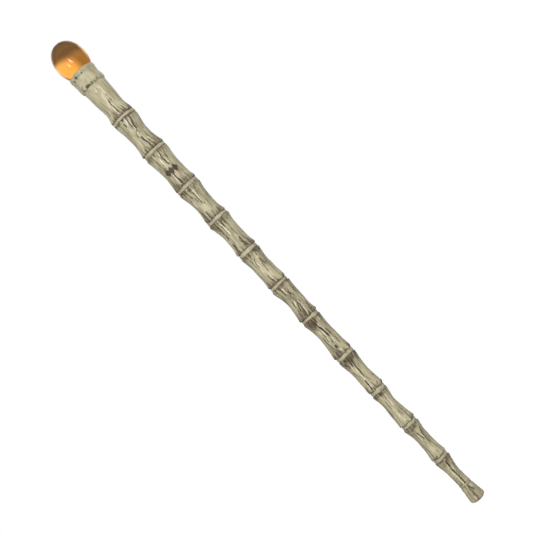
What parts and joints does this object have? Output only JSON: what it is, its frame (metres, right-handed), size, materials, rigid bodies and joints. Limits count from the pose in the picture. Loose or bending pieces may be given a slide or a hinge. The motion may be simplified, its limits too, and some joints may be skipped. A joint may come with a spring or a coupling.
{
  "type": "magic wand",
  "caption": "Slender magic wand with a clear amber egg knob that screws into a socket cup, on a tapering bone-like shaft of waisted segments and rings with a flared tip.",
  "frame": {"origin": "centre of the tip's flat end, on the wand's axis", "axes": "+Z along the axis from the tip to the knob; the wand is round, so +X and +Y are any two square directions across it"},
  "size_m": [0.02, 0.02, 0.3556],
  "materials": {
    "bone": "cast resin in the look of old bone, satin, with a brown wash in its cracks and at the ends of each segment",
    "ring_bone": "the same cast resin left clean, smooth and a little greener, satin",
    "amber": "clear amber-coloured casting resin, polished",
    "steel": "zinc-plated steel, threaded",
    "brass": "turned brass",
    "rubber": "black nitrile rubber"
  },
  "bodies": {
    "shaft": {"socket_cup": "bone", "top_nut": "steel", "top_washer": "steel", "core_rod": "steel", "segment_01": "bone", "ring_01": "ring_bone", "segment_02": "bone", "ring_02": "ring_bone", "segment_03": "bone", "ring_03": "ring_bone", "segment_04": "bone", "ring_04": "ring_bone", "segment_05": "bone", "ring_05": "ring_bone", "segment_06": "bone", "ring_06": "ring_bone", "segment_07": "bone", "ring_07": "ring_bone", "segment_08": "bone", "ring_08": "ring_bone", "segment_09": "bone", "ring_09": "ring_bone", "segment_10": "bone", "ring_10": "ring_bone", "segment_11": "bone", "ring_11": "ring_bone", "segment_12": "bone", "foot_bead": "bone", "foot_tip": "bone", "foot_insert": "brass"},
    "knob_ring": {"knob_ring": "rubber"},
    "knob": {"knob": "amber", "knob_insert": "brass"}
  },
  "joints": [
    {"name": "knob_lift", "type": "slide", "parent": "shaft", "child": "knob_ring", "axis": [0, 0, 1], "range_m": [0, 0.00537]},
    {"name": "knob_turn", "type": "hinge", "parent": "knob_ring", "child": "knob", "pos_m": [0, 0, 0.3344], "axis": [0, 0, 1], "range_deg": [0, 3870]}
  ],
  "couplings": [
    {"joint": "knob_lift", "follows": "knob_turn", "m_per_rad": 0.000079577}
  ]
}
